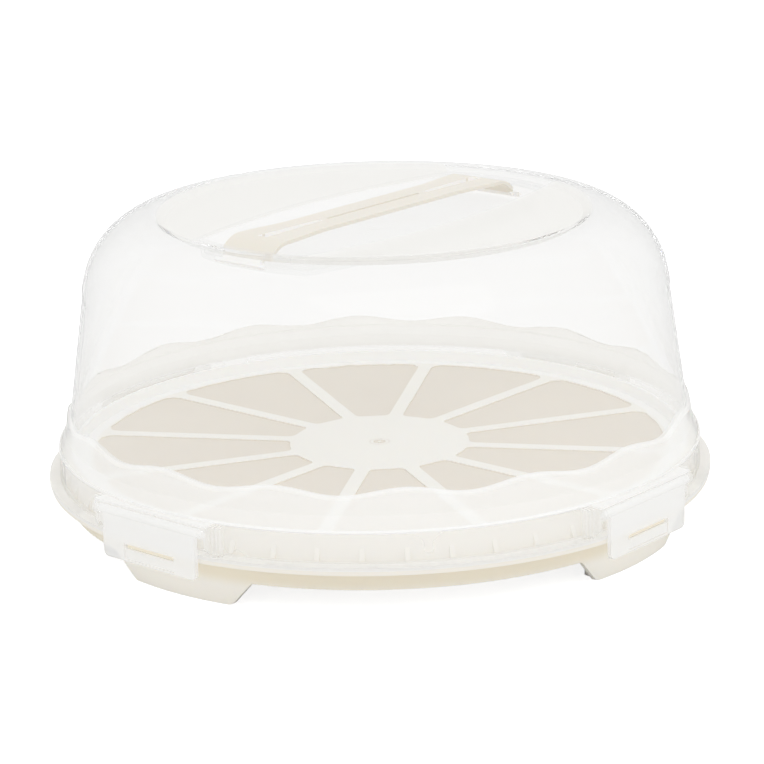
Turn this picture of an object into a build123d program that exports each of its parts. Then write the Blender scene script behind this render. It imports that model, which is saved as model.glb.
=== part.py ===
# Round cake carrier: a footed cake tray, a clear domed lid that lifts off it, a carrying strap on
# the lid, and snap latches round the lid's rim that hook on the tray's flange.
# Millimetres, +Z up. The carrier's axis is Z, its feet stand on Z = 0, the strap runs along X, and
# the latches face +X, +Y, -X and -Y.
from build123d import *
from math import cos, pi, radians, sin, sqrt, tan
import os

os.makedirs("parts", exist_ok=True)

# ---------------------------------------------------------------- clearances
running_gap = 0.05  # pin in its bore, on the radius
side_gap = 0.3  # between faces that slide or swing past each other
locator_gap = 0.6  # tray's locating ribs to the lid's collar
strap_gap = 1.0  # strap's shoulders to the end wall of the well

# ---------------------------------------------------------------- cake tray
tray_wall = 2.4
plate_radius = 157.0
plate_thickness = 2.2
rim_rise = 5.5  # rim's top above the plate
rim_lean = 1.4  # rim's inner face leans out by this much
rim_width = 2.2
rim_rounding = 0.9
wall_rise = 15.3  # rim's top above the flange
wall_spread = 2.8  # wall's foot stands out past its top by this much
flange_thickness = 2.2
skirt_depth = 10.6  # below the flange
skirt_inset = 7.3  # skirt's top to the flange's edge
skirt_slope = 0.22  # skirt's lean, per mm of height
foot_depth = 13.4  # feet below the skirt
foot_half_width = 31.0  # at the ground
foot_turn = 2.6  # the feet sit this far round from the latches, degrees
foot_end_slope = 0.95  # a foot's end widens by this much, per mm of height
foot_corner = 5.0
foot_root_fillet = 3.0  # where a foot's end meets the skirt's lower edge
foot_web_thickness = 2.0
foot_web_reach = 8.0
foot_web_angles = (-10, -5, 0, 5, 10)

slice_count = 12
slice_hub_radius = 47.0
slice_margin = 7.5  # from the slices' outer ends to the rim
slice_depth = 0.6
slice_end_corner = 7.0
slice_hub_corner = 4.0
spoke_width = 7.5
underside_rib_width = 2.0
underside_rib_depth = 5.0

locator_count = 48
locator_width = 2.4
locator_straight = 2.4  # height of a locating rib's upright edge
locator_rise = 7.8  # whole height of a locating rib

catch_half_width = 15.5
catch_thickness = 1.6
catch_cover = 1.2  # catch's tip inside the latch's outer face

gate_radius = 3.4  # mark left by a moulding gate
gate_depth = 0.4
gate_pip_radius = 1.0

# ---------------------------------------------------------------- lid
lid_wall = 1.9
lip_overhang = 0.5  # lip's edge past the flange's edge
lip_width = 5.6
lip_thickness = 1.8
collar_gap = 2.1  # collar's inner face to the tray's wall, at the flange
collar_rise = 14.6  # above the lip
collar_lean = 0.5
bead_radius = 0.8  # bead round the collar's top
bead_stand = 0.6
flare_rise = 8.0  # the lid leans in above the collar, up to the band
dome_setback = 3.9  # dome's foot inside the collar's top
dome_rise = 76.4  # straight side of the dome, above the collar
dome_lean = 11.3
shoulder_width = 39.6
shoulder_rise = 43.5
crown_rounding = 1.6
dish_width = 5.0  # slope from the crown down to the sunk panel
dish_depth = 3.3

band_stand = 1.7  # raised band round the foot of the dome
band_rise = 17.8  # band's mean upper edge above the collar
band_wave = 1.8  # its upper edge rises and falls by this much
band_wave_count = 16
band_bevel = 30.0  # slope of its upper edge, degrees
band_root = 0.8  # how deep the band is let into the dome's wall
band_cover = 2.6  # the lid's inner face follows the band up to this far below its lowest edge

well_margin = 9.0  # from the well's ends to the panel's edge
well_half_width = 46.5
well_side_radius = 392.0
well_corner = 8.0
well_depth = 8.2
well_draft = 8.0  # degrees

# ---------------------------------------------------------------- latches and their housings
latch_inset = 1.0  # latch's outer face inside the lip's edge
latch_gap = 0.4  # flats on the lip and the flange to a latch's inner face
latch_thickness = 2.2
latch_half_width = 31.0
latch_tail = 8.5  # latch's lower edge below the flange
latch_corner = 3.0
barrel_radius = 2.3
barrel_stand = 0.7  # barrel's front past the latch's outer face
barrel_overhang = 2.7  # barrel's end past the latch's side
barrel_drop = 3.2  # barrel's axis below the collar's top
pin_radius = 1.5
pin_length = 1.8
slot_half_width = 16.7
slot_play = 0.5  # slot past the catch, above and below
pad_depth = 0.6
pad_border = 1.2  # plain border below the sunk pad

cheek_thickness = 3.0
cheek_boss = 2.6
cheek_setback = 1.7  # cheek's front behind the hinge axis
cheek_undercut = 3.0
visor_gap = 0.5  # visor's underside above the barrel
visor_thickness = 1.3
visor_reach = 0.3  # visor's front past the hinge axis
collar_rib_width = 0.9
collar_rib_angles = (13.1, 13.7, 14.3)  # from the latch, degrees
collar_rib_setbacks = (0.8, 1.4, 2.0)  # behind the lip's edge

# ---------------------------------------------------------------- carrying strap
strap_rise = 3.5  # strap's top above the panel
strap_thickness = 2.0
strap_edge = 0.5
grip_half_width = 13.0
strap_flare_length = 38.0
strap_flare_setback = 12.1  # flare's end to the well's end
strap_end_half_width = 16.5
strap_bend_radius = 16.0  # where the strap turns down at its ends
strap_bend_angle = 38.0  # degrees
strap_bend_start = 14.7  # bend's start to the well's end
strap_tail = 11.0  # straight, past the bend
strap_corner = 1.5
slit_length = 43.0
slit_setback = 14.1  # slit's end to the well's end
slit_start_half_width = 1.2
slit_end_half_width = 3.0
groove_half_width = 0.8
groove_depth = 0.7
groove_setback = 5.0  # groove's end to the slit's start
neck_half_width = 12.5  # where the strap passes through the end of the well
toggle_length = 2.4  # cross bar that stops the strap from drawing back
toggle_gap = 0.5

edge_search = 0.01  # edges are looked for within this distance

# ---------------------------------------------------------------- worked out: tray
flange_bottom = foot_depth + skirt_depth
flange_top = flange_bottom + flange_thickness
rim_top = flange_top + wall_rise
plate_top = rim_top - rim_rise
plate_bottom = plate_top - plate_thickness
rim_inner_radius = plate_radius + rim_lean
rim_outer_radius = rim_inner_radius + rim_width
wall_foot_radius = rim_outer_radius + wall_spread
collar_inner_radius = wall_foot_radius + collar_gap
collar_foot_radius = collar_inner_radius + lid_wall
lip_radius = collar_foot_radius + lip_width
flange_radius = lip_radius - lip_overhang
skirt_top_radius = flange_radius - skirt_inset
slice_end_radius = plate_radius - slice_margin
slice_gap = 2 * pi * slice_hub_radius / slice_count - spoke_width
foot_top_half_width = foot_half_width + foot_end_slope * foot_depth
catch_bottom = flange_bottom - catch_thickness

# ---------------------------------------------------------------- worked out: lid
lip_top = flange_top + lip_thickness
collar_top = lip_top + collar_rise
collar_top_radius = collar_foot_radius - collar_lean
flare_top = collar_top + flare_rise
dome_foot_radius = collar_top_radius - dome_setback
dome_top = collar_top + dome_rise
dome_top_radius = dome_foot_radius - dome_lean
crown_radius = dome_top_radius - shoulder_width
crown_top = dome_top + shoulder_rise
panel_radius = crown_radius - dish_width
panel_top = crown_top - dish_depth
panel_bottom = panel_top - lid_wall
band_middle = collar_top + band_rise
band_crest = band_middle + band_wave
band_trough = band_middle - band_wave
inner_step = band_trough - band_cover
well_end_radius = panel_radius - well_margin
well_floor = panel_top - well_depth
well_underside = well_floor - lid_wall
well_narrowing = well_depth * tan(radians(well_draft))

# ---------------------------------------------------------------- worked out: latches and strap
latch_azimuths = {"latch_east": 0, "latch_north": 90, "latch_west": 180, "latch_south": 270}
latch_outer_face = lip_radius - latch_inset
latch_inner_face = latch_outer_face - latch_thickness
latch_flat = latch_inner_face - latch_gap
catch_tip = latch_outer_face - catch_cover
latch_bottom = flange_bottom - latch_tail
barrel_out = latch_outer_face + barrel_stand - barrel_radius
barrel_up = collar_top - barrel_drop
barrel_half_length = latch_half_width + barrel_overhang
slot_top = flange_bottom + slot_play
slot_bottom = catch_bottom - slot_play
cheek_inner = barrel_half_length + side_gap
cheek_outer = cheek_inner + cheek_thickness
cheek_front = barrel_out - cheek_setback
bore_half_length = barrel_half_length + pin_length + side_gap
visor_front = barrel_out + visor_reach
visor_bottom = barrel_up + barrel_radius + visor_gap
visor_top = visor_bottom + visor_thickness
housing_back = sqrt(collar_top_radius**2 - cheek_outer**2) - 2 * lid_wall
strap_top = panel_top + strap_rise
strap_end_radius = well_end_radius - strap_gap
strap_flare_end = well_end_radius - strap_flare_setback
grip_half_length = strap_flare_end - strap_flare_length
slit_end = well_end_radius - slit_setback
slit_start = slit_end - slit_length
groove_half_length = slit_start - groove_setback
bend_start = well_end_radius - strap_bend_start
bend_end = bend_start + strap_bend_radius * sin(radians(strap_bend_angle))
bend_end_top = strap_top - strap_bend_radius * (1 - cos(radians(strap_bend_angle)))
strap_drop = strap_thickness / cos(radians(strap_bend_angle))
neck_end = well_end_radius + lid_wall + toggle_gap
toggle_end = neck_end + toggle_length


def skirt_radius(height):
    return skirt_top_radius - skirt_slope * (flange_bottom - height)


def wall_radius(height):
    return wall_foot_radius - wall_spread * (height - flange_top) / wall_rise


def dome_radius(height):
    return dome_foot_radius - dome_lean * (height - collar_top) / dome_rise


def well_outline(grow, height):
    """Outline of the well, grown by a margin all round, at one height."""
    side_radius = well_side_radius + grow
    end_width = well_half_width - well_side_radius + sqrt(side_radius**2 - panel_radius**2)
    with BuildSketch(Plane.XY.offset(height)) as outline:
        with BuildLine():
            ThreePointArc(
                (-panel_radius, end_width), (0, well_half_width + grow), (panel_radius, end_width)
            )
            Polyline(
                (panel_radius, end_width),
                (panel_radius, 0),
                (-panel_radius, 0),
                (-panel_radius, end_width),
            )
        make_face()
        mirror(about=Plane.XZ)
        Circle(well_end_radius + grow, mode=Mode.INTERSECT)
        fillet(outline.vertices(), well_corner + grow)
    return outline.sketch


def tail_height(reach):
    """Height of the top of the strap's sloping tail, at a distance from the middle."""
    return bend_end_top - (reach - bend_end) * tan(radians(strap_bend_angle))


def turned(azimuth):
    return Location((0, 0, 0), (0, 0, azimuth))


def facing(azimuth, distance):
    """Upright plane at a distance from the axis: local x sideways, local y up, normal outwards."""
    return Plane(turned(azimuth) * Plane.YZ.offset(distance).location)


def endwise(azimuth):
    """Upright plane through the axis: local x outwards, local y up."""
    return Plane(turned(azimuth) * Plane.XZ.location)


def rings(part, radius, height):
    """The part's circular edges of one radius at one height."""
    return part.edges().filter_by(
        lambda e: e.geom_type == GeomType.CIRCLE
        and abs(e.radius - radius) < edge_search
        and abs(e.center().Z - height) < edge_search
    )


# ================================================================ cake tray
with BuildPart() as foot_ends:
    for azimuth in latch_azimuths.values():
        with BuildSketch(facing(azimuth + foot_turn, slice_hub_radius)):
            with BuildLine() as outline:
                wide = foot_top_half_width + 2 * foot_corner
                Polyline(
                    (-foot_half_width, 0),
                    (foot_half_width, 0),
                    (foot_top_half_width, foot_depth),
                    (wide, foot_depth),
                    (wide, flange_bottom),
                    (-wide, flange_bottom),
                    (-wide, foot_depth),
                    (-foot_top_half_width, foot_depth),
                    close=True,
                )
                fillet(outline.vertices().group_by(Axis.Y)[0], foot_corner)
                roots = outline.vertices().filter_by(
                    lambda v: abs(abs(v.X) - foot_top_half_width) < edge_search
                )
                fillet(roots, foot_root_fillet)
            make_face()
        extrude(amount=flange_radius)

with BuildPart() as foot_gaps:
    Cylinder(flange_radius, foot_depth, align=(Align.CENTER, Align.CENTER, Align.MIN))
    add(foot_ends.part, mode=Mode.SUBTRACT)

with BuildPart() as locator:
    with BuildSketch(Plane.XZ):
        with BuildLine():
            locator_low = flange_top - flange_thickness / 2
            locator_high = flange_top + locator_rise
            Polyline(
                (wall_foot_radius - tray_wall / 2, locator_low),
                (collar_inner_radius - locator_gap, locator_low),
                (collar_inner_radius - locator_gap, flange_top + locator_straight),
                (wall_radius(locator_high), locator_high),
                (wall_radius(locator_high) - tray_wall / 2, locator_high),
                close=True,
            )
        make_face()
    extrude(amount=locator_width / 2, both=True)

with BuildPart() as foot_web:
    with BuildSketch(Plane.XZ):
        with BuildLine():
            web_inner = skirt_radius(0) - tray_wall - foot_web_reach
            web_top = plate_bottom + plate_thickness / 2
            Polyline(
                (web_inner, 0),
                (skirt_radius(0) - tray_wall / 2, 0),
                (skirt_radius(flange_bottom) - tray_wall / 2, flange_bottom),
                (wall_radius(web_top) - tray_wall / 2, web_top),
                (web_inner, web_top),
                close=True,
            )
        make_face()
    extrude(amount=foot_web_thickness / 2, both=True)

with BuildPart() as base_tray:
    with BuildSketch(Plane.XZ):
        with BuildLine():
            Polyline(
                (0, plate_top),
                (plate_radius, plate_top),
                (rim_inner_radius, rim_top),
                (rim_outer_radius, rim_top),
                (wall_foot_radius, flange_top),
                (flange_radius, flange_top),
                (flange_radius, flange_bottom),
                (skirt_top_radius, flange_bottom),
                (skirt_radius(0), 0),
                (skirt_radius(0) - tray_wall, 0),
                (skirt_radius(flange_bottom) - tray_wall, flange_bottom - tray_wall),
                (wall_foot_radius - tray_wall, flange_top),
                (wall_radius(plate_bottom) - tray_wall, plate_bottom),
                (0, plate_bottom),
                close=True,
            )
        make_face()
    revolve(axis=Axis.Z)
    add(foot_gaps.part, mode=Mode.SUBTRACT)
    rim_edges = rings(base_tray, rim_inner_radius, rim_top)
    rim_edges += rings(base_tray, rim_outer_radius, rim_top)
    fillet(rim_edges, min(rim_rounding, rim_width / 3))

    # slices sunk in the plate, round a hub
    with BuildSketch(Plane.XY.offset(plate_top)) as slices:
        Circle(slice_end_radius)
        Circle(slice_hub_radius, mode=Mode.SUBTRACT)
        with PolarLocations(slice_end_radius / 2, slice_count):
            Rectangle(slice_end_radius, spoke_width, mode=Mode.SUBTRACT)
        hub_corners = slices.vertices().filter_by(
            lambda v: abs(sqrt(v.X**2 + v.Y**2) - slice_hub_radius) < edge_search
        )
        fillet(hub_corners, min(slice_hub_corner, slice_gap / 3))
        end_corners = slices.vertices().filter_by(
            lambda v: abs(sqrt(v.X**2 + v.Y**2) - slice_end_radius) < edge_search
        )
        fillet(end_corners, min(slice_end_corner, slice_gap))
    extrude(amount=-slice_depth, mode=Mode.SUBTRACT)

    # mark of the moulding gate: a shallow dimple with a pip in it
    with BuildSketch(Plane.XY.offset(plate_top)):
        Circle(gate_radius)
        Circle(gate_pip_radius, mode=Mode.SUBTRACT)
    extrude(amount=-gate_depth, mode=Mode.SUBTRACT)

    # stiffening under the plate: a rib under each spoke and a ring under the hub's edge
    with BuildSketch(Plane.XY.offset(plate_bottom + plate_thickness / 2)):
        Circle(slice_hub_radius)
        Circle(slice_hub_radius - underside_rib_width, mode=Mode.SUBTRACT)
        rib_end = wall_radius(plate_bottom) - tray_wall / 2
        rib_start = slice_hub_radius - underside_rib_width / 2
        with PolarLocations((rib_start + rib_end) / 2, slice_count):
            Rectangle(rib_end - rib_start, underside_rib_width)
    extrude(amount=-underside_rib_depth - plate_thickness / 2)

    # webs inside the feet, and ribs round the wall that centre the lid
    web_azimuths = [a + foot_turn + b for a in latch_azimuths.values() for b in foot_web_angles]
    with Locations(*[turned(azimuth) for azimuth in web_azimuths]):
        add(foot_web.part)
    with PolarLocations(0, locator_count):
        add(locator.part)

    # at each latch the flange is cut flat, and a catch stands out from the flat
    for azimuth in latch_azimuths.values():
        with BuildSketch(facing(azimuth, latch_flat)):
            Rectangle(2 * cheek_outer, 2 * flange_top)
        extrude(amount=flange_radius, mode=Mode.SUBTRACT)
        with BuildSketch(facing(azimuth, wall_foot_radius)):
            with Locations((0, catch_bottom + catch_thickness / 2)):
                Rectangle(2 * catch_half_width, catch_thickness)
        extrude(amount=catch_tip - wall_foot_radius)
base_tray.part.label = "base_tray"
export_step(base_tray.part, "parts/base_tray.step")


# ================================================================ lid
def wave_point(share, height):
    """A point of the band's edge, moved along the bevel onto the plane of the cutter."""
    swing = share * pi / band_wave_count
    rise = (wave_radius * cos(swing) - wave_start) * tan(radians(band_bevel))
    return (wave_radius * sin(swing), height + rise)


with BuildPart() as band_waves:
    wave_radius = dome_radius(band_middle)
    wave_start = wave_radius * cos(pi / band_wave_count) - 2 * band_root
    wave_line = (
        wave_point(-1, band_crest),
        wave_point(-0.5, band_middle),
        wave_point(0, band_trough),
        wave_point(0.5, band_middle),
        wave_point(1, band_crest),
    )
    wave_side = wave_line[-1][0] + band_stand
    wave_level = wave_line[-1][1]
    wave_roof = wave_level + 4 * band_wave
    for count in range(band_wave_count):
        azimuth = 360 * (count + 0.5) / band_wave_count
        with BuildSketch(facing(azimuth, wave_start)):
            with BuildLine():
                Spline(*wave_line, tangents=[(1, 0), (1, 0)])
                Polyline(
                    wave_line[-1],
                    (wave_side, wave_level),
                    (wave_side, wave_roof),
                    (-wave_side, wave_roof),
                    (-wave_side, wave_level),
                    wave_line[0],
                )
            make_face()
        tilt = turned(azimuth) * Location((cos(radians(band_bevel)), 0, -sin(radians(band_bevel))))
        extrude(amount=5 * lid_wall + 2 * band_stand, dir=tilt.position)

with BuildPart() as band:
    with BuildSketch(Plane.XZ):
        with BuildLine():
            Polyline(
                (dome_radius(flare_top) - band_root, flare_top),
                (dome_radius(flare_top) + band_stand, flare_top),
                (dome_radius(band_crest) + band_stand, band_crest),
                (dome_radius(band_crest) - band_root, band_crest),
                close=True,
            )
        make_face()
    revolve(axis=Axis.Z)
    add(band_waves.part, mode=Mode.SUBTRACT)

with BuildPart() as housing:
    with BuildSketch(Plane.XZ):
        with BuildLine():
            Polyline(
                (housing_back, lip_top),
                (cheek_front - cheek_undercut, lip_top),
                (cheek_front, lip_top + cheek_undercut),
                (cheek_front, barrel_up),
                (barrel_out, barrel_up),
                (visor_front, visor_top),
                (housing_back, visor_top),
                close=True,
            )
        make_face()
        with Locations((barrel_out, barrel_up)):
            Circle(cheek_boss)
    extrude(amount=cheek_outer, both=True)
    with BuildSketch(Plane.XZ):
        with Locations((barrel_out, barrel_up)):
            Rectangle(2 * (barrel_out - housing_back), 2 * barrel_up)
    extrude(amount=cheek_inner, both=True, mode=Mode.SUBTRACT)
    with BuildSketch(Plane.XZ):
        with BuildLine():
            Polyline(
                (housing_back, visor_top),
                (visor_front, visor_top),
                (visor_front, visor_bottom),
                (housing_back, visor_bottom),
                close=True,
            )
        make_face()
    extrude(amount=cheek_inner + cheek_thickness / 2, both=True)
    with BuildSketch(Plane.XZ):
        with Locations((barrel_out, barrel_up)):
            Circle(pin_radius + running_gap)
    extrude(amount=bore_half_length, both=True, mode=Mode.SUBTRACT)
    for side in (-1, 1):
        for angle, setback in zip(collar_rib_angles, collar_rib_setbacks):
            with BuildSketch(endwise(side * angle)):
                with BuildLine():
                    Polyline(
                        (housing_back, lip_top),
                        (lip_radius - setback, lip_top),
                        (lip_radius - setback, collar_top),
                        (housing_back, collar_top),
                        close=True,
                    )
                make_face()
            extrude(amount=collar_rib_width / 2, both=True)

with BuildPart() as cavity:
    with BuildSketch(Plane.XZ):
        with BuildLine():
            Polyline(
                (crown_radius, crown_top - lid_wall),
                (panel_radius, panel_bottom),
                (0, panel_bottom),
                (0, flange_top),
                (collar_inner_radius, flange_top),
                (collar_top_radius - lid_wall, collar_top),
                (dome_radius(flare_top) + band_stand - lid_wall, flare_top),
                (dome_radius(inner_step) + band_stand - lid_wall, inner_step),
                (dome_radius(inner_step) - lid_wall, inner_step + band_stand),
                (dome_top_radius - lid_wall, dome_top),
            )
            EllipticalCenterArc(
                (crown_radius, dome_top),
                shoulder_width - lid_wall,
                shoulder_rise - lid_wall,
                start_angle=0,
                arc_size=90,
            )
        make_face()
    revolve(axis=Axis.Z)
    fillet(rings(cavity, crown_radius, crown_top - lid_wall), crown_rounding)

with BuildPart() as well_space:
    loft([well_outline(0, panel_top), well_outline(-well_narrowing, well_floor)])

with BuildPart() as well_tub:
    tub_narrowing = (panel_top - well_underside) * tan(radians(well_draft))
    loft(
        [
            well_outline(lid_wall, panel_top),
            well_outline(lid_wall - tub_narrowing, well_underside),
        ]
    )

with BuildPart() as lid_dome:
    with BuildSketch(Plane.XZ):
        with BuildLine():
            Polyline(
                (crown_radius, crown_top),
                (panel_radius, panel_top),
                (0, panel_top),
                (0, flange_top),
                (lip_radius, flange_top),
                (lip_radius, lip_top),
                (collar_foot_radius, lip_top),
                (collar_top_radius, collar_top),
                (dome_radius(flare_top) + band_stand, flare_top),
                (dome_radius(flare_top), flare_top),
                (dome_top_radius, dome_top),
            )
            EllipticalCenterArc(
                (crown_radius, dome_top),
                shoulder_width,
                shoulder_rise,
                start_angle=0,
                arc_size=90,
            )
        make_face()
    revolve(axis=Axis.Z)
    fillet(rings(lid_dome, crown_radius, crown_top), crown_rounding)
    add(band.part)
    with BuildSketch(Plane.XZ):
        with Locations((collar_top_radius - bead_radius + bead_stand, collar_top + bead_radius)):
            Circle(bead_radius)
    revolve(axis=Axis.Z)
    for azimuth in latch_azimuths.values():
        with BuildSketch(facing(azimuth, latch_flat)):
            Rectangle(2 * cheek_outer, 2 * lip_top)
        extrude(amount=lip_radius, mode=Mode.SUBTRACT)
    with Locations(*[turned(azimuth) for azimuth in latch_azimuths.values()]):
        add(housing.part)
    add(cavity.part, mode=Mode.SUBTRACT)

    # well for the strap
    add(well_tub.part)
    add(well_space.part, mode=Mode.SUBTRACT)
    for side in (-1, 1):
        with BuildSketch(Plane.XZ):
            with BuildLine():
                opening_gap = side_gap / cos(radians(strap_bend_angle))
                Polyline(
                    (side * strap_end_radius, tail_height(strap_end_radius) + opening_gap),
                    (side * toggle_end, tail_height(toggle_end) + opening_gap),
                    (side * toggle_end, tail_height(toggle_end) - strap_drop - opening_gap),
                    (side * bend_end, tail_height(bend_end) - strap_drop - opening_gap),
                    (side * bend_end, tail_height(strap_end_radius) + opening_gap),
                    close=True,
                )
            make_face()
        extrude(amount=neck_half_width + side_gap, both=True, mode=Mode.SUBTRACT)
    with BuildSketch(Plane.XY.offset(well_floor)):
        Circle(gate_radius)
        Circle(gate_pip_radius, mode=Mode.SUBTRACT)
    extrude(amount=-gate_depth, mode=Mode.SUBTRACT)
lid_dome.part.label = "lid_dome"
export_step(lid_dome.part, "parts/lid_dome.step")


# ================================================================ carrying strap
with BuildPart() as strap_outline:
    with BuildSketch(Plane.XY.offset(well_underside)) as plan:
        with BuildLine():
            Spline(
                (grip_half_length, grip_half_width),
                (strap_flare_end, strap_end_half_width),
                tangents=[(1, 0), (1, 0)],
            )
            Polyline(
                (strap_flare_end, strap_end_half_width),
                (well_end_radius, strap_end_half_width),
                (well_end_radius, 0),
                (0, 0),
                (0, grip_half_width),
                (grip_half_length, grip_half_width),
            )
        make_face()
        mirror(about=Plane.XZ)
        mirror(about=Plane.YZ)
        Circle(strap_end_radius, mode=Mode.INTERSECT)
        shoulders = plan.vertices().filter_by(
            lambda v: abs(sqrt(v.X**2 + v.Y**2) - strap_end_radius) < edge_search
        )
        fillet(shoulders, strap_corner)
        Rectangle(2 * neck_end, 2 * neck_half_width)
        for side in (-1, 1):
            with Locations((side * (neck_end + toggle_length / 2), 0)):
                Rectangle(toggle_length, 2 * strap_end_half_width)
    extrude(amount=strap_top - well_underside)

with BuildPart() as strap_slits:
    for side in (-1, 1):
        with BuildSketch(Plane.XY.offset(well_floor)):
            with Locations((side * (slit_start + slit_start_half_width), 0)):
                Circle(slit_start_half_width)
            with Locations((side * (slit_end - slit_end_half_width), 0)):
                Circle(slit_end_half_width)
            make_hull()
        extrude(amount=strap_top - well_floor)

with BuildPart() as handle:
    with BuildSketch(Plane.XZ):
        with BuildLine():
            Line((0, strap_top), (bend_start, strap_top))
            bend = JernArc(
                (bend_start, strap_top), (1, 0), strap_bend_radius, -strap_bend_angle
            )
            PolarLine(bend @ 1, strap_tail, -strap_bend_angle)
            offset(amount=strap_thickness, side=Side.RIGHT, closed=True)
        make_face()
    extrude(amount=strap_end_half_width, both=True)
    mirror(about=Plane.YZ)
    add(strap_outline.part, mode=Mode.INTERSECT)
    top_edges = handle.faces().filter_by(Axis.Z).sort_by(Axis.Z)[-1].edges()
    fillet(top_edges.filter_by(Axis.Y, reverse=True), strap_edge)
    add(strap_slits.part, mode=Mode.SUBTRACT)

    # groove along the grip
    with BuildSketch(Plane.XY.offset(strap_top)):
        Rectangle(2 * groove_half_length, 2 * groove_half_width)
    extrude(amount=-groove_depth, mode=Mode.SUBTRACT)
handle.part.label = "handle"
export_step(handle.part, "parts/handle.step")


# ================================================================ latches
with BuildPart() as latch:
    with BuildSketch(facing(0, latch_inner_face)):
        with BuildLine():
            outline = Polyline(
                (-latch_half_width, latch_bottom),
                (latch_half_width, latch_bottom),
                (latch_half_width, barrel_up),
                (-latch_half_width, barrel_up),
                close=True,
            )
            low_corners = outline.vertices().group_by(Axis.Y)[0]
            fillet(low_corners, latch_corner)
        make_face()
    extrude(amount=latch_thickness)
    with BuildSketch(Plane.XZ):
        with Locations((barrel_out, barrel_up)):
            Circle(barrel_radius)
    extrude(amount=barrel_half_length, both=True)
    with BuildSketch(Plane.XZ):
        with Locations((barrel_out, barrel_up)):
            Circle(pin_radius)
    extrude(amount=barrel_half_length + pin_length, both=True)
    with BuildSketch(facing(0, latch_inner_face)):
        with Locations((0, (slot_bottom + slot_top) / 2)):
            Rectangle(2 * slot_half_width, slot_top - slot_bottom)
    extrude(amount=latch_thickness, mode=Mode.SUBTRACT)
    with BuildSketch(facing(0, latch_outer_face)):
        pad_bottom = latch_bottom + pad_border
        with Locations((0, (slot_bottom + pad_bottom) / 2)):
            Rectangle(2 * slot_half_width, slot_bottom - pad_bottom)
    extrude(amount=-pad_depth, mode=Mode.SUBTRACT)

for name, azimuth in latch_azimuths.items():
    with BuildPart() as placed_latch:
        add(latch.part, rotation=(0, 0, azimuth))
    placed_latch.part.label = name
    export_step(placed_latch.part, f"parts/{name}.step")
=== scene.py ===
"""Looks for the cake carrier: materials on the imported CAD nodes, floor, light and camera.

Everything is in metres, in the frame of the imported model: the carrier's axis is Z, its feet stand
on Z = 0, the strap runs along X and the latches face +X, +Y, -X and -Y.
"""
from math import cos, radians, sin

import bpy
from mathutils import Matrix, Vector

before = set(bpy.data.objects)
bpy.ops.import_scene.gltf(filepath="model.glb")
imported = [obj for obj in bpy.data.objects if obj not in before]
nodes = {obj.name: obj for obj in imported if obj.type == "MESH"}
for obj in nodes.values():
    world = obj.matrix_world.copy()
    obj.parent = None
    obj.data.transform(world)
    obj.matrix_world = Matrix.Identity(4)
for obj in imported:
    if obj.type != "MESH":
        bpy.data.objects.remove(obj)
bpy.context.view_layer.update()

# ---------------------------------------------------------------- places on the object, metres
SLICE_FLOOR = 0.0354  # floor of the slice fields sunk in the plate
PLATE_TOP = 0.0360
SLICE_RADIUS = 0.1500  # just past the outer ends of the slice fields
BAND_MIDDLE = 0.0604  # mean height of the band's wavy edge
BAND_WAVE = 0.0018
BAND_WAVES = 16
BAND_HIGHLIGHT_LINE = 0.0005  # half height of the painted highlight line along the wavy edge
COLLAR_TOP = 0.0426
BEAD_RADIUS = 0.0008
BEAD_INNER = 0.1659
RIM_RADIUS = 0.1608
GATE_RING = 0.0052  # faint ring round the moulding gate in the middle of the plate
GATE_RING_WIDTH = 0.0005
MARGIN_RADIUS = 0.1512  # the plain ring outside the slice fields starts here; it is painted lighter as a painted highlight
FOOT_TOP = 0.0134
SKIRT_SHADE_FADE = 0.008  # height over which the painted light of the feet turns into the painted shade on the skirt under the flange
FLANGE_BOTTOM = 0.0240
LIP_TOP = 0.0283
PANEL_BOTTOM = 0.1573
FROST_RADIUS = 0.1118  # the two frosted half-moons of the top reach out to this
FROST_CORNER = 0.009
WELL_HALF_WIDTH = 0.0465
WELL_SIDE_RADIUS = 0.392
SLIT_START = 0.041
SLIT_END = 0.084
SLIT_START_HALF_WIDTH = 0.0012
SLIT_END_HALF_WIDTH = 0.0030
SLIT_SKIN = 0.00012  # the slits' mask takes in walls that lie this close to its edge
LEVEL_SKIN = 0.0003  # a mask that starts or ends at a level does so this far below it
WELL_SKIN = 0.0006  # and the well's mask, this far below the panel's underside
SOFT_EDGE = 0.0004  # width over which a frosted field fades out
TIP_START = 0.0975  # the strap's cross bars behind the well's end walls, painted pale from here out as a painted highlight
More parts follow.
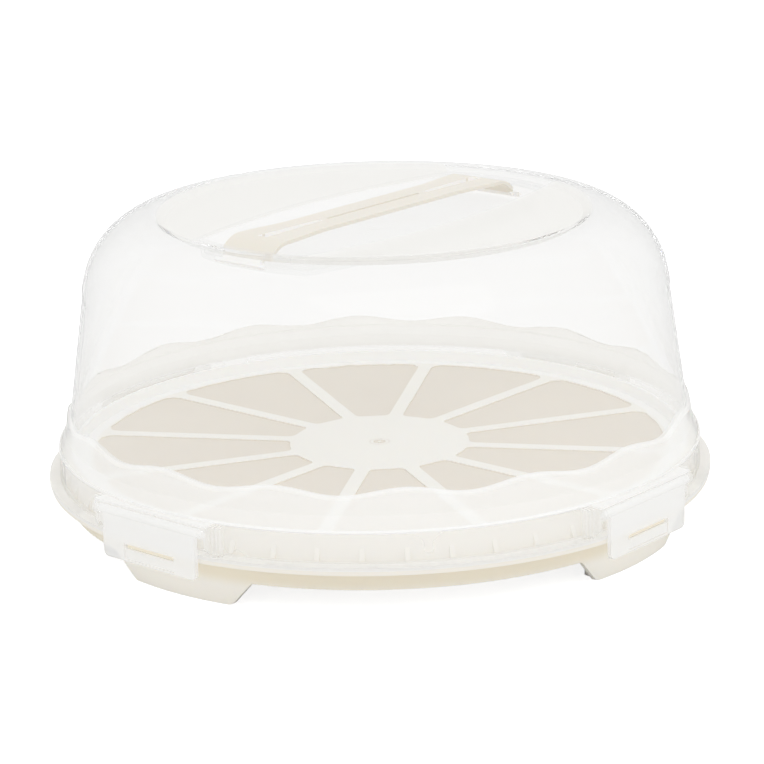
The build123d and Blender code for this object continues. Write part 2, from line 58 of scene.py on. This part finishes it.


# ================================================================ node helpers
class Tree:
    """Short names for building a material's nodes."""

    def __init__(self, name):
        self.material = bpy.data.materials.new(name)
        self.material.use_nodes = True
        self.tree = self.material.node_tree
        self.tree.nodes.clear()
        self.output = self.tree.nodes.new("ShaderNodeOutputMaterial")

    def node(self, kind, **settings):
        made = self.tree.nodes.new(kind)
        for key, value in settings.items():
            setattr(made, key, value)
        return made

    def link(self, value, socket):
        if isinstance(value, bpy.types.NodeSocket):
            self.tree.links.new(value, socket)
        else:
            socket.default_value = value

    def math(self, operation, *values):
        made = self.node("ShaderNodeMath", operation=operation)
        for value, socket in zip(values, made.inputs):
            self.link(value, socket)
        return made.outputs[0]

    def place(self):
        """The point's place in the frame of the part, whichever way its body has moved."""
        return self.node("ShaderNodeTexCoord").outputs["Object"]

    def length(self, a, b):
        return self.math("SQRT", self.math("ADD", self.math("MULTIPLY", a, a), self.math("MULTIPLY", b, b)))

    def near(self, value, place, width):
        """1 within the width of a place, and 0 past it."""
        return self.math("LESS_THAN", self.math("ABSOLUTE", self.math("SUBTRACT", value, place)), width)

    def split(self, vector):
        made = self.node("ShaderNodeSeparateXYZ")
        self.link(vector, made.inputs[0])
        return made.outputs

    def step(self, value, edge, width):
        """0 below the edge and 1 above it, over a soft width."""
        made = self.node("ShaderNodeMapRange", interpolation_type="SMOOTHSTEP")
        self.link(value, made.inputs["Value"])
        self.link(edge, made.inputs["From Min"])
        top = self.math("ADD", edge, width) if isinstance(edge, bpy.types.NodeSocket) else edge + width
        self.link(top, made.inputs["From Max"])
        return made.outputs["Result"]

    def blend(self, share, low, high):
        """A number that runs from low to high with the share."""
        made = self.node("ShaderNodeMapRange")
        self.link(share, made.inputs["Value"])
        self.link(low, made.inputs["To Min"])
        self.link(high, made.inputs["To Max"])
        return made.outputs["Result"]

    def mix(self, share, low, high):
        """A colour that runs from low to high with the share."""
        made = self.node("ShaderNodeMix", data_type="RGBA")
        self.link(share, made.inputs["Factor"])
        for value, socket in ((low, made.inputs[6]), (high, made.inputs[7])):
            self.link((*value, 1) if isinstance(value, tuple) else value, socket)
        return made.outputs[2]

    def noise(self, place, scale, detail=2.0, rough=0.5):
        made = self.node("ShaderNodeTexNoise")
        self.link(place, made.inputs["Vector"])
        self.link(scale, made.inputs["Scale"])
        self.link(detail, made.inputs["Detail"])
        self.link(rough, made.inputs["Roughness"])
        return made.outputs["Fac"]

    def bump(self, height, distance, strength=1.0, normal=None):
        made = self.node("ShaderNodeBump")
        self.link(height, made.inputs["Height"])
        self.link(distance, made.inputs["Distance"])
        self.link(strength, made.inputs["Strength"])
        if normal is not None:
            self.link(normal, made.inputs["Normal"])
        return made.outputs["Normal"]

    def true_normal(self):
        return self.node("ShaderNodeNewGeometry").outputs["True Normal"]

    def plastic(self, **sockets):
        made = self.node("ShaderNodeBsdfPrincipled")
        for key, value in sockets.items():
            socket = made.inputs[key.replace("_", " ")]
            self.link((*value, 1) if socket.type == "RGBA" and isinstance(value, tuple) else value, socket)
        self.tree.links.new(made.outputs[0], self.output.inputs["Surface"])
        return made

    def pass_light(self, shader, colour):
        """Lets lamps and the light of the room through a clear piece, onto what is behind it."""
        paths = self.node("ShaderNodeLightPath").outputs
        veil = self.node("ShaderNodeBsdfTransparent")
        self.link((*colour, 1) if isinstance(colour, tuple) else colour, veil.inputs["Color"])
        made = self.node("ShaderNodeMixShader")
        self.link(self.math("MAXIMUM", paths["Is Shadow Ray"], paths["Is Diffuse Ray"]), made.inputs[0])
        self.link(shader.outputs[0], made.inputs[1])
        self.link(veil.outputs[0], made.inputs[2])
        self.link(made.outputs[0], self.output.inputs["Surface"])

    def absorb(self, colour, density):
        made = self.node("ShaderNodeVolumeAbsorption")
        self.link((*colour, 1), made.inputs["Color"])
        self.link(density, made.inputs["Density"])
        self.tree.links.new(made.outputs[0], self.output.inputs["Volume"])


# ================================================================ materials
# colours in pairs are the two ends of a slow cloud over the surface
# the feet's cream is painted lighter, as painted light from the white floor below, and the skirt's is
# painted darker, as painted shade under the flange
FOOT_FLOOR_LIT_CREAM = ((0.975, 0.94, 0.865), (0.985, 0.955, 0.885))
SKIRT_SHADED_CREAM = ((0.915, 0.84, 0.69), (0.93, 0.86, 0.715))
WALL_CREAM = ((0.905, 0.865, 0.79), (0.92, 0.885, 0.81))
DISC_CREAM = ((0.94, 0.92, 0.865), (0.955, 0.935, 0.885))
# near white for the painted highlight on the plate's outer ring
MARGIN_HIGHLIGHT_CREAM = ((0.98, 0.975, 0.955), (0.99, 0.985, 0.965))
SLICE_TAN = ((0.815, 0.755, 0.67), (0.84, 0.785, 0.70))
STRAP_CREAM = ((0.83, 0.79, 0.71), (0.86, 0.82, 0.74))
GATE_COLOUR = (0.86, 0.82, 0.76)
# pale cream for the strap's painted highlights
STRAP_HIGHLIGHT_CREAM = (0.985, 0.975, 0.955)
CLEAR_FACING = (0.995, 0.995, 0.992)
# painted shade along the clear plastic's edges: greyer towards grazing angles, for the dark reflections
# there
CLEAR_EDGE_SHADE = (0.80, 0.80, 0.79)
EDGE_SHADE_POWER = 6.0
FROST_WHITE = (1.0, 1.0, 0.99)
MOON_WHITE = (0.945, 0.94, 0.92)
LATCH_WHITE = (0.99, 0.99, 0.985)
PLASTIC_IOR = 1.49
THIN_WALL_IOR = 1.01  # both faces of a thin wall together hardly bend the light
GLOW_REACH = (1.0, 0.8, 0.55)  # how far red, green and blue spread in the cream plastic
GLOW_SCALE = 0.003
LID_STAIN = (0.85, 0.853, 0.85)
LATCH_STAIN = (0.85, 0.85, 0.85)
STAIN_DENSITY = 10.0
THROUGH_CLEAR = (0.99, 0.99, 0.99)  # what lamps and the room lose on their way through
THROUGH_FROST = (0.975, 0.975, 0.97)
THROUGH_LATCH = (0.97, 0.97, 0.965)

# depth of the surface grain, metres
PLATE_GRAIN = 0.00002
FIELD_GRAIN = 0.00008
FINE_GRAIN = 0.00001
STRAP_GRAIN = 0.00003
CLEAR_GRAIN = 0.000003
FROST_GRAIN = 0.00003
LATCH_GRAIN = 0.00001

# share of the light that goes straight through
CLEAR_SHARE = 0.98
LIP_SHARE = 0.45
BAND_SHARE = 0.56
MOON_SHARE = 0.52
LATCH_SHARE = 0.45
HIGHLIGHT_LINE_HAZE = 0.25  # less of it in the painted highlight lines and the collar
COLLAR_HAZE = 0.2


def cream_tray():
    t = Tree("cream_tray")
    place = t.place()
    x, y, z = t.split(place)
    radius = t.length(x, y)
    low = t.math("LESS_THAN", z, PLATE_TOP - LEVEL_SKIN)
    high = t.math("GREATER_THAN", z, SLICE_FLOOR - LEVEL_SKIN)
    field = t.math("MULTIPLY", t.math("MULTIPLY", low, high), t.math("LESS_THAN", radius, SLICE_RADIUS))
    plate = t.math("MULTIPLY", high, t.math("LESS_THAN", radius, RIM_RADIUS))
    # painted highlight: the plate's outer ring is painted whiter than the disc
    lit_margin = t.math("MULTIPLY", plate, t.math("GREATER_THAN", radius, MARGIN_RADIUS))
    cloud = t.noise(place, scale=22.0)
    grain = t.noise(place, scale=1400.0, detail=3.0)
    fine = t.noise(place, scale=4200.0, detail=1.0)

    # colours from the feet up to the top of the plate, with painted light on the feet and painted shade on
    # the skirt under the flange
    flange_shade = t.mix(
        t.step(z, FOOT_TOP - SKIRT_SHADE_FADE / 2, SKIRT_SHADE_FADE),
        t.mix(cloud, *FOOT_FLOOR_LIT_CREAM),
        t.mix(cloud, *SKIRT_SHADED_CREAM),
    )
    side = t.mix(t.math("GREATER_THAN", z, FLANGE_BOTTOM), flange_shade, t.mix(cloud, *WALL_CREAM))
    disc = t.mix(t.near(radius, GATE_RING, GATE_RING_WIDTH), t.mix(cloud, *DISC_CREAM), GATE_COLOUR)
    top = t.mix(lit_margin, disc, t.mix(cloud, *MARGIN_HIGHLIGHT_CREAM))
    sunk = t.mix(cloud, *SLICE_TAN)
    rough = t.blend(grain, 0.34, 0.46)
    normal = t.bump(grain, t.blend(field, PLATE_GRAIN, FIELD_GRAIN), strength=0.6)
    t.plastic(
        Base_Color=t.mix(field, t.mix(plate, side, top), sunk),
        Roughness=t.math("ADD", rough, t.math("MULTIPLY", field, 0.2)),
        IOR=PLASTIC_IOR,
        Subsurface_Weight=0.12,
        Subsurface_Radius=GLOW_REACH,
        Subsurface_Scale=GLOW_SCALE,
        Normal=t.bump(fine, FINE_GRAIN, strength=0.4, normal=normal),
    )
    return t.material


def cream_strap():
    t = Tree("cream_strap")
    place = t.place()
    x, y, _ = t.split(place)
    along = t.math("ABSOLUTE", x)

    # painted highlight: the walls of the two slits and the cross bars behind the clear end walls are
    # painted pale, for the light they catch
    widening = (SLIT_END_HALF_WIDTH - SLIT_START_HALF_WIDTH) / (SLIT_END - SLIT_START)
    past = t.math("MULTIPLY", t.math("SUBTRACT", along, SLIT_START), widening)
    half = t.math("ADD", past, SLIT_START_HALF_WIDTH + SLIT_SKIN)
    middle = (SLIT_START + SLIT_END) / 2
    slit = t.math(
        "MULTIPLY",
        t.near(along, middle, middle - SLIT_START + SLIT_SKIN),
        t.math("LESS_THAN", t.math("ABSOLUTE", y), half),
    )
    slit_and_tip_highlight = t.math("MAXIMUM", slit, t.math("GREATER_THAN", along, TIP_START))
    cream = t.mix(t.noise(place, scale=30.0), *STRAP_CREAM)
    grain = t.noise(place, scale=1700.0)
    t.plastic(
        Base_Color=t.mix(slit_and_tip_highlight, cream, STRAP_HIGHLIGHT_CREAM),
        Roughness=t.blend(grain, 0.3, 0.42),
        IOR=PLASTIC_IOR,
        Subsurface_Weight=0.15,
        Subsurface_Radius=GLOW_REACH,
        Subsurface_Scale=GLOW_SCALE,
        Normal=t.bump(grain, STRAP_GRAIN, strength=0.6),
    )
    return t.material


def clear_lid():
    t = Tree("clear_lid")
    place = t.place()
    x, y, z = t.split(place)
    radius = t.length(x, y)

    # frosted band between the collar and a wavy edge, with a painted highlight line, whiter and less clear,
    # along both of its sides
    swing = t.math("COSINE", t.math("MULTIPLY", t.math("ARCTAN2", y, x), float(BAND_WAVES)))
    edge = t.math("ADD", t.math("MULTIPLY", swing, BAND_WAVE), BAND_MIDDLE)
    below = t.math("SUBTRACT", 1.0, t.step(z, edge, SOFT_EDGE))
    collar = t.math("LESS_THAN", z, COLLAR_TOP)
    bead = t.math(
        "MULTIPLY",
        t.near(z, COLLAR_TOP + BEAD_RADIUS, BEAD_RADIUS),
        t.math("GREATER_THAN", radius, BEAD_INNER),
    )
    # painted highlight along the wavy edge and along the bead
    highlight_line = t.math("MAXIMUM", t.near(z, edge, BAND_HIGHLIGHT_LINE), bead)
    lip = t.math("LESS_THAN", z, LIP_TOP)
    band = t.math("MULTIPLY", below, t.math("SUBTRACT", 1.0, collar))

    # frosted half-moons beside the strap's well, with rounded ends
    bulge = t.math("SUBTRACT", WELL_SIDE_RADIUS**2, t.math("MULTIPLY", x, x))
    side = t.math("ADD", t.math("SQRT", bulge), WELL_HALF_WIDTH - WELL_SIDE_RADIUS)
    from_side = t.math("SUBTRACT", t.math("ABSOLUTE", y), side)
    from_rim = t.math("SUBTRACT", FROST_RADIUS, radius)
    corner_in = [
        t.math("MAXIMUM", t.math("SUBTRACT", FROST_CORNER, reach), 0.0) for reach in (from_side, from_rim)
    ]
    inside = t.math("SUBTRACT", FROST_CORNER, t.length(*corner_in))
    on_top = t.math("GREATER_THAN", z, PANEL_BOTTOM - LEVEL_SKIN)
    moons = t.math("MULTIPLY", t.step(inside, 0.0, SOFT_EDGE), on_top)

    # the strap's well, under the flat of the top
    well = t.math(
        "MULTIPLY",
        t.math("LESS_THAN", radius, FROST_RADIUS),
        t.math("LESS_THAN", z, PANEL_BOTTOM - WELL_SKIN),
    )

    # the frosted mask takes in the painted highlight lines too, so they turn white and rough like the frost
    frost_and_highlight = t.math("MAXIMUM", t.math("MAXIMUM", band, moons), t.math("MAXIMUM", highlight_line, lip))
    grain = t.noise(place, scale=2600.0)
    # painted shade: the clear plastic turns greyer towards grazing angles
    edge_shade = t.math("POWER", t.node("ShaderNodeLayerWeight").outputs["Facing"], EDGE_SHADE_POWER)
    clear_tint_with_edge_shade = t.mix(edge_shade, CLEAR_FACING, CLEAR_EDGE_SHADE)
    white = t.mix(t.math("MAXIMUM", moons, lip), FROST_WHITE, MOON_WHITE)
    haze = t.math("MULTIPLY", t.noise(place, scale=14.0, detail=3.0), 0.04)
    rough = t.math("MAXIMUM", t.blend(frost_and_highlight, 0.04, 0.5), t.math("MULTIPLY", collar, 0.25))
    frosted_share = t.blend(moons, t.blend(band, LIP_SHARE, BAND_SHARE), MOON_SHARE)
    highlight_haze_loss = t.math("MULTIPLY", highlight_line, HIGHLIGHT_LINE_HAZE)
    clearness = t.math("SUBTRACT", t.blend(frost_and_highlight, CLEAR_SHARE, frosted_share), highlight_haze_loss)
    shader = t.plastic(
        Base_Color=t.mix(frost_and_highlight, clear_tint_with_edge_shade, white),
        Roughness=t.math("ADD", rough, haze),
        IOR=THIN_WALL_IOR,
        Coat_Weight=t.blend(t.math("MAXIMUM", frost_and_highlight, well), 0.8, 0.0),
        Coat_Roughness=0.05,
        Coat_IOR=PLASTIC_IOR,
        Transmission_Weight=t.math("SUBTRACT", clearness, t.math("MULTIPLY", collar, COLLAR_HAZE)),
        Normal=t.bump(grain, t.blend(frost_and_highlight, CLEAR_GRAIN, FROST_GRAIN), 0.7, t.true_normal()),
    )
    t.pass_light(shader, t.mix(frost_and_highlight, THROUGH_CLEAR, THROUGH_FROST))
    t.absorb(LID_STAIN, STAIN_DENSITY)
    return t.material


def clear_latch():
    t = Tree("clear_latch")
    place = t.place()
    grain = t.noise(place, scale=2600.0)
    shader = t.plastic(
        Base_Color=LATCH_WHITE,
        Roughness=t.blend(t.noise(place, scale=40.0, detail=3.0), 0.2, 0.3),
        IOR=THIN_WALL_IOR,
        Coat_Weight=0.5,
        Coat_Roughness=0.15,
        Coat_IOR=PLASTIC_IOR,
        Transmission_Weight=LATCH_SHARE,
        Normal=t.bump(grain, LATCH_GRAIN, 0.6, t.true_normal()),
    )
    t.pass_light(shader, THROUGH_LATCH)
    t.absorb(LATCH_STAIN, STAIN_DENSITY)
    return t.material


LOOKS = {
    "base_tray": cream_tray(),
    "handle": cream_strap(),
    "lid_dome": clear_lid(),
}
latch_look = clear_latch()
for name, node in nodes.items():
    look = LOOKS.get(name, latch_look)
    for slot in node.material_slots:
        slot.material = look


# ================================================================ floor and light
FLOOR_HALF = 6.0
FLOOR_DROP = 0.0002  # keeps the feet's ground faces off the floor's
FLOOR_COLOUR = 0.92
FLOOR_GLOW = 0.8  # makes the floor white in the picture, with no light on the object
FLOOR_GLOW_THROUGH = 0.1  # and brighter where it is seen through the clear pieces
ROOM_LEVEL = 1.13
WHITE_LEVEL = 1.0  # the room as the camera sees it


def floor():
    mesh = bpy.data.meshes.new("floor")
    corners = [(sx * FLOOR_HALF, sy * FLOOR_HALF, 0) for sx, sy in ((-1, -1), (1, -1), (1, 1), (-1, 1))]
    mesh.from_pydata(corners, [], [(0, 1, 2, 3)])
    made = bpy.data.objects.new("floor", mesh)
    bpy.context.scene.collection.objects.link(made)
    made.location.z = -FLOOR_DROP
    t = Tree("floor")
    paths = t.node("ShaderNodeLightPath").outputs
    glow = t.node("ShaderNodeEmission")
    seen = t.math("MULTIPLY", paths["Is Camera Ray"], FLOOR_GLOW)
    passed = t.math("MULTIPLY", paths["Is Transmission Ray"], FLOOR_GLOW_THROUGH)
    t.link(t.math("ADD", seen, passed), glow.inputs["Strength"])
    paint = t.node("ShaderNodeBsdfDiffuse")
    t.link((FLOOR_COLOUR, FLOOR_COLOUR, FLOOR_COLOUR, 1), paint.inputs["Color"])
    both = t.node("ShaderNodeAddShader")
    t.link(glow.outputs[0], both.inputs[0])
    t.link(paint.outputs[0], both.inputs[1])
    t.link(both.outputs[0], t.output.inputs["Surface"])
    mesh.materials.append(t.material)


floor()

world = bpy.data.worlds.new("studio")
bpy.context.scene.world = world
world.use_nodes = True
tree = world.node_tree
tree.nodes.clear()
background = tree.nodes.new("ShaderNodeBackground")
output = tree.nodes.new("ShaderNodeOutputWorld")
tree.links.new(background.outputs[0], output.inputs[0])
paths = tree.nodes.new("ShaderNodeLightPath")
level = tree.nodes.new("ShaderNodeMapRange")
level.inputs["To Min"].default_value = ROOM_LEVEL
level.inputs["To Max"].default_value = WHITE_LEVEL
tree.links.new(paths.outputs["Is Camera Ray"], level.inputs["Value"])
tree.links.new(level.outputs[0], background.inputs["Strength"])


LAMP_PLACE = (-0.6, -1.0, 1.8)
LAMP_AIM = (0, 0, 0.08)


def lamp(name, place, size, power):
    data = bpy.data.lights.new(name, "AREA")
    data.size = size
    data.energy = power
    made = bpy.data.objects.new(name, data)
    bpy.context.scene.collection.objects.link(made)
    made.location = place
    made.rotation_euler = (Vector(LAMP_AIM) - Vector(place)).to_track_quat("-Z", "Y").to_euler()
    made.visible_glossy = False


lamp("key", LAMP_PLACE, size=2.0, power=6.0)

# ================================================================ camera
CAMERA_TURN = radians(49.23)  # about Z, from looking along +Y
CAMERA_PITCH = radians(16.10)
CAMERA_ROLL = radians(-1.38)
CAMERA_PLACE = (0.00201, -1.3806, 0.4669)
SENSOR = 36.0
FOCAL = 129.63


def turned(vector):
    x, y, z = vector
    return Vector(
        (
            x * cos(CAMERA_TURN) + y * sin(CAMERA_TURN),
            -x * sin(CAMERA_TURN) + y * cos(CAMERA_TURN),
            z,
        )
    )


ahead = Vector((0, cos(CAMERA_PITCH), -sin(CAMERA_PITCH)))
level_right = Vector((1, 0, 0))
level_up = level_right.cross(ahead)
right = level_right * cos(CAMERA_ROLL) + level_up * sin(CAMERA_ROLL)
up = right.cross(ahead)
camera_data = bpy.data.cameras.new("camera")
camera_data.sensor_width = SENSOR
camera_data.lens = FOCAL
camera = bpy.data.objects.new("camera", camera_data)
bpy.context.scene.collection.objects.link(camera)
axes = Matrix((turned(right), turned(up), -turned(ahead))).transposed().to_4x4()
camera.matrix_world = Matrix.Translation(turned(CAMERA_PLACE)) @ axes
bpy.context.scene.camera = camera
bpy.context.scene.view_settings.view_transform = "Standard"
bpy.context.scene.cycles.max_bounces = 24
bpy.context.scene.cycles.transmission_bounces = 24
bpy.context.scene.cycles.glossy_bounces = 12
bpy.context.scene.cycles.transparent_max_bounces = 32
